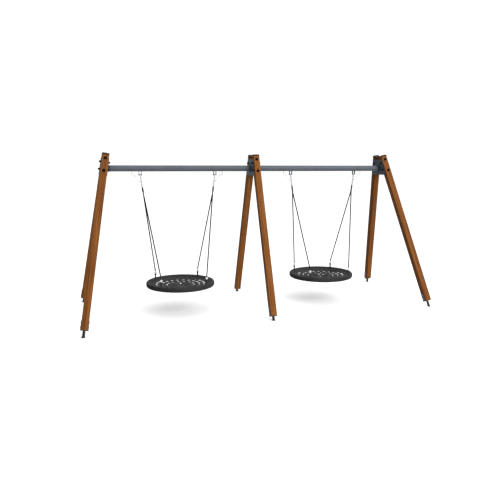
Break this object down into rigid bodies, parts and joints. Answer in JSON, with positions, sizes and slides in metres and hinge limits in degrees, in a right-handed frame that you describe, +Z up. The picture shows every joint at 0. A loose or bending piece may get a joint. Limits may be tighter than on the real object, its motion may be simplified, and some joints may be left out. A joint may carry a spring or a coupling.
{
  "type": "swing set",
  "caption": "Timber A-frame nest swing: steel crossbars on splayed legs carry round rubber basket seats on chains and ropes, which swing fore and aft.",
  "frame": {"origin": "on the ground, under the middle of the middle A-frame", "axes": "+X along the crossbars, +Y the way the seats swing, +Z up"},
  "size_m": [6.1506, 2.29, 2.7666],
  "materials": {
    "timber": "oiled planed timber",
    "post_cap": "dark stained",
    "grey_steel": "blue-grey coated steel",
    "zinc_steel": "galvanised",
    "dark_metal": "dark coated steel",
    "rope": "braided grey rope with a steel core",
    "seat_rubber": "matt black moulded rubber"
  },
  "bodies": {
    "frame": {"post_left_front": "timber", "post_cap_left_front": "post_cap", "ground_anchor_left_front": "grey_steel", "post_left_rear": "timber", "post_cap_left_rear": "post_cap", "ground_anchor_left_rear": "grey_steel", "head_bracket_left": "grey_steel", "post_middle_front": "timber", "post_cap_middle_front": "post_cap", "ground_anchor_middle_front": "grey_steel", "post_middle_rear": "timber", "post_cap_middle_rear": "post_cap", "ground_anchor_middle_rear": "grey_steel", "head_bracket_middle": "grey_steel", "post_right_front": "timber", "post_cap_right_front": "post_cap", "ground_anchor_right_front": "grey_steel", "post_right_rear": "timber", "post_cap_right_rear": "post_cap", "ground_anchor_right_rear": "grey_steel", "head_bracket_right": "grey_steel", "crossbar_left": "grey_steel", "crossbar_right": "grey_steel"},
    "swing_left": {"seat_ring_left": "seat_rubber", "seat_net_left": "seat_rubber", "swivel_left_inner": "zinc_steel", "chain_left_inner": "zinc_steel", "rope_head_left_inner": "dark_metal", "safety_cable_left_inner": "zinc_steel", "rope_left_inner_front": "rope", "rope_fixing_left_inner_front": "dark_metal", "rope_left_inner_rear": "rope", "rope_fixing_left_inner_rear": "dark_metal", "swivel_left_outer": "zinc_steel", "chain_left_outer": "zinc_steel", "rope_head_left_outer": "dark_metal", "safety_cable_left_outer": "zinc_steel", "rope_left_outer_front": "rope", "rope_fixing_left_outer_front": "dark_metal", "rope_left_outer_rear": "rope", "rope_fixing_left_outer_rear": "dark_metal"},
    "swing_right": {"seat_ring_right": "seat_rubber", "seat_net_right": "seat_rubber", "swivel_right_inner": "zinc_steel", "chain_right_inner": "zinc_steel", "rope_head_right_inner": "dark_metal", "safety_cable_right_inner": "zinc_steel", "rope_right_inner_front": "rope", "rope_fixing_right_inner_front": "dark_metal", "rope_right_inner_rear": "rope", "rope_fixing_right_inner_rear": "dark_metal", "swivel_right_outer": "zinc_steel", "chain_right_outer": "zinc_steel", "rope_head_right_outer": "dark_metal", "safety_cable_right_outer": "zinc_steel", "rope_right_outer_front": "rope", "rope_fixing_right_outer_front": "dark_metal", "rope_right_outer_rear": "rope", "rope_fixing_right_outer_rear": "dark_metal"}
  },
  "joints": [
    {"name": "left_seat_swing", "type": "hinge", "parent": "frame", "child": "swing_left", "pos_m": [-1.36, 0, 2.4], "axis": [1, 0, 0], "range_deg": [-60, 60]},
    {"name": "right_seat_swing", "type": "hinge", "parent": "frame", "child": "swing_right", "pos_m": [1.36, 0, 2.4], "axis": [1, 0, 0], "range_deg": [-60, 60]}
  ]
}
